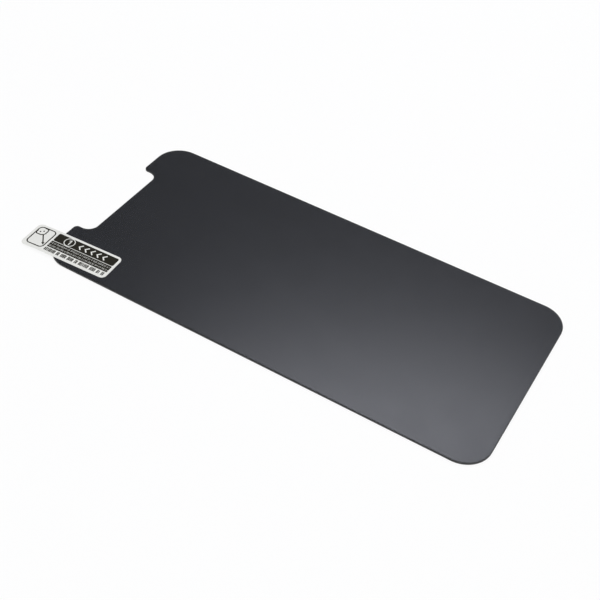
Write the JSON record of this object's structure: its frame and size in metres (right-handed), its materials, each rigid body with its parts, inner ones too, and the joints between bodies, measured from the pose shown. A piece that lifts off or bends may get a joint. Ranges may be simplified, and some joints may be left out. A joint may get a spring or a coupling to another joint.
{
  "type": "phone privacy screen protector",
  "caption": "Thin dark laminated sheet with rounded corners and a notched end, for a phone display, with its peel-off films and a printed pull label still on.",
  "frame": {"origin": "centre of the sheet's underside, which is the outer face of the release liner, midway between the long sides and between the two ends of the glass", "axes": "+X across the sheet, +Y along the sheet towards its notched end, +Z out of the front face"},
  "size_m": [0.067, 0.1518, 0.0008],
  "materials": {
    "liner_film": "clear glossy film over the adhesive",
    "silicone": "clear tacky coat",
    "louvre_film": "near-black film with fine upright louvres",
    "smoked_glass": "polished, dark over the louvre film",
    "mask_film": "clear film with a soft gloss",
    "label_stock": "coated pale label stock",
    "label_ink": "warm black print"
  },
  "bodies": {
    "root": {"release_liner": "liner_film", "silicone_adhesive": "silicone", "louvre_film": "louvre_film", "tempered_glass": "smoked_glass", "front_mask_film": "mask_film", "pull_label": "label_stock"}
  },
  "joints": []
}
